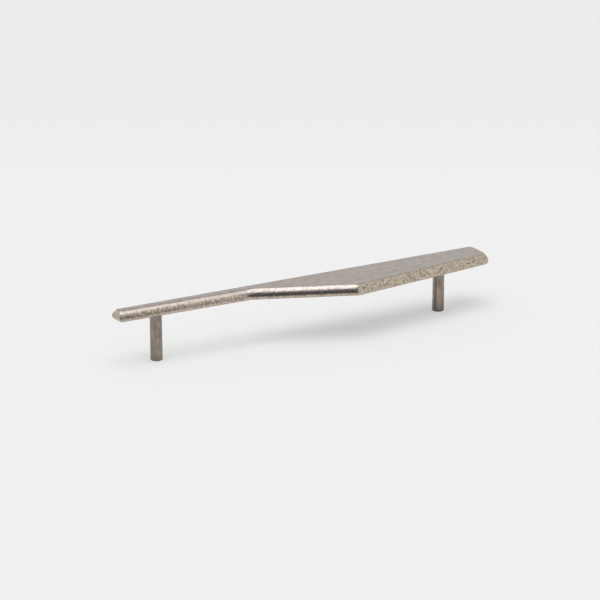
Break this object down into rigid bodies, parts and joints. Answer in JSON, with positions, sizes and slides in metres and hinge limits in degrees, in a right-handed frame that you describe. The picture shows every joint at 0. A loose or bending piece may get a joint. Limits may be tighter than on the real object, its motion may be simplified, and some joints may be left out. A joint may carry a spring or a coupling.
{
  "type": "cabinet pull",
  "caption": "Long cast cabinet pull: a slim tail opening into a bent tapering blade, on round turned posts tapped for fixing screws.",
  "frame": {"origin": "on the drawer front, midway between the axes of the two posts", "axes": "+X along the line of the posts from the tail to the blade, +Y to the straight back edge, +Z out of the drawer front"},
  "size_m": [0.292, 0.0433, 0.0406],
  "materials": {
    "cast_metal": "tumbled, grey-brown, satin",
    "turned_metal": "turned, grey-brown, satin"
  },
  "bodies": {
    "root": {"bar": "cast_metal", "tail_post": "turned_metal", "blade_post": "turned_metal"}
  },
  "joints": []
}
